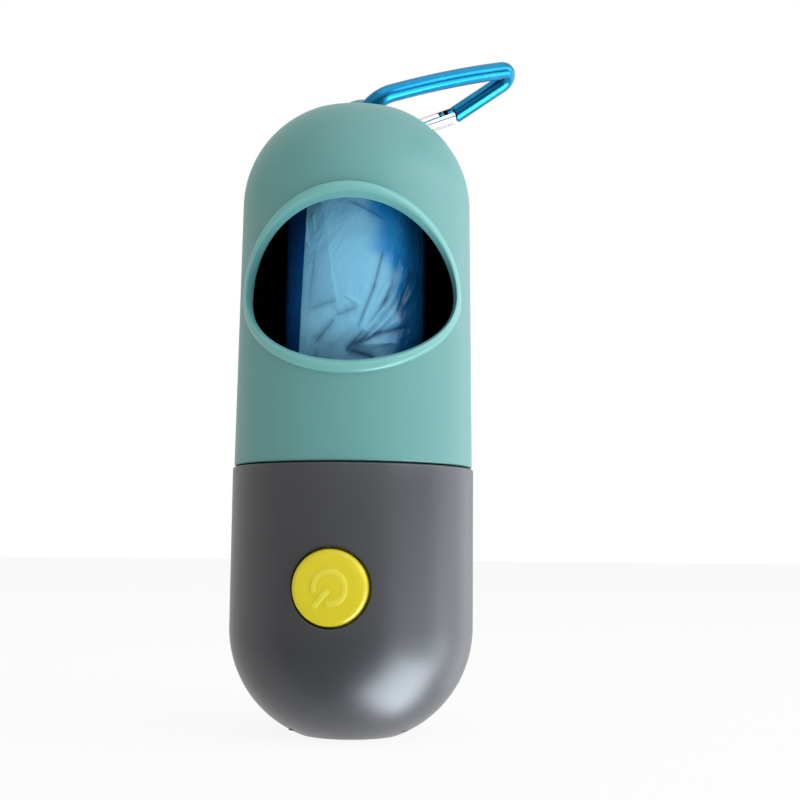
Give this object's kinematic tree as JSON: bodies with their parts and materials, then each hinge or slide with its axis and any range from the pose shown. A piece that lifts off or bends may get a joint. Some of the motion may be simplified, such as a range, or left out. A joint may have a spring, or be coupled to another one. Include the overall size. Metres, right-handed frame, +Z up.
{
  "type": "dog waste bag dispenser",
  "caption": "Capsule-shaped holder for a roll of dog waste bags, with a window to pull the bags through, a leash clip on top and a push-button torch in the base.",
  "frame": {"origin": "centre of the flat base, on the face that the body stands on", "axes": "+Z runs up the body's axis to the clip, -Y is the side of the window and the button, +X is to the right of that side as it is faced"},
  "size_m": [0.06, 0.0552, 0.1502],
  "materials": {
    "teal_plastic": "satin",
    "grey_plastic": "satin gloss",
    "dark_plastic": "satin",
    "white_plastic": "matte",
    "black_plastic": "matte",
    "yellow_plastic": "gloss",
    "clear_plastic": "clear gloss",
    "reflector_silver": "metallised mirror",
    "led_resin": "clear resin",
    "board_green": "solder mask",
    "wire_red": "satin sleeve",
    "wire_black": "satin sleeve",
    "blue_film": "layered film",
    "loose_film": "crumpled translucent film",
    "card": "raw card",
    "seal_rubber": "satin",
    "screw_steel": "zinc plated",
    "spring_steel": "drawn wire",
    "cell_steel": "polished",
    "pin_steel": "satin",
    "contact_brass": "plated",
    "blue_anodised": "anodised satin",
    "gate_silver": "polished"
  },
  "bodies": {
    "lower_half": {"lower_shell": "grey_plastic", "inner_cap": "dark_plastic", "cap_screws": "screw_steel", "battery_door": "dark_plastic", "door_screws": "screw_steel", "battery_holder": "white_plastic", "button_cell_1": "cell_steel", "button_cell_2": "cell_steel", "button_cell_3": "cell_steel", "contact_spring": "spring_steel", "contact_plate": "contact_brass", "switch_body": "black_plastic", "led_board": "board_green", "led": "led_resin", "reflector": "reflector_silver", "lens": "clear_plastic", "wire_red": "wire_red", "wire_black": "wire_black"},
    "button": {"power_button": "yellow_plastic", "switch_plunger": "white_plastic", "button_spring": "spring_steel"},
    "seal": {"o_ring": "seal_rubber"},
    "upper_half": {"upper_shell": "teal_plastic"},
    "roll": {"roll_core": "card", "bag_roll": "blue_film", "loose_bag": "loose_film"},
    "clip": {"carabiner_body": "blue_anodised", "gate_hinge_pin": "pin_steel"},
    "gate": {"carabiner_gate": "gate_silver", "gate_latch_pin": "pin_steel", "gate_spring": "spring_steel"}
  },
  "joints": [
    {"name": "button_press", "type": "slide", "parent": "lower_half", "child": "button", "axis": [0.0976, 0.9952, 0], "range_m": [0, 0.0012], "stiffness_N_per_m": 600, "springref_m": -0.001, "deforming": ["button_spring"]},
    {"name": "upper_turn", "type": "hinge", "parent": "lower_half", "child": "seal", "pos_m": [0, 0, 0], "axis": [0, 0, 1], "continuous": true},
    {"name": "upper_pull", "type": "slide", "parent": "seal", "child": "upper_half", "axis": [0, 0, 1], "range_m": [0, 0.062]},
    {"name": "roll_spin", "type": "hinge", "parent": "lower_half", "child": "roll", "pos_m": [0, 0, 0], "axis": [0, 0, 1], "continuous": true},
    {"name": "clip_swing", "type": "hinge", "parent": "upper_half", "child": "clip", "pos_m": [0, 0.01308, 0.13312], "axis": [0, 0.9063, -0.4226], "range_deg": [-168, 47]},
    {"name": "gate_open", "type": "hinge", "parent": "clip", "child": "gate", "pos_m": [0.00773, 0.02303, 0.13312], "axis": [0.4772, -0.3714, -0.7965], "range_deg": [0, 25], "stiffness_Nm_per_rad": 0.02, "springref_deg": -11.46}
  ]
}
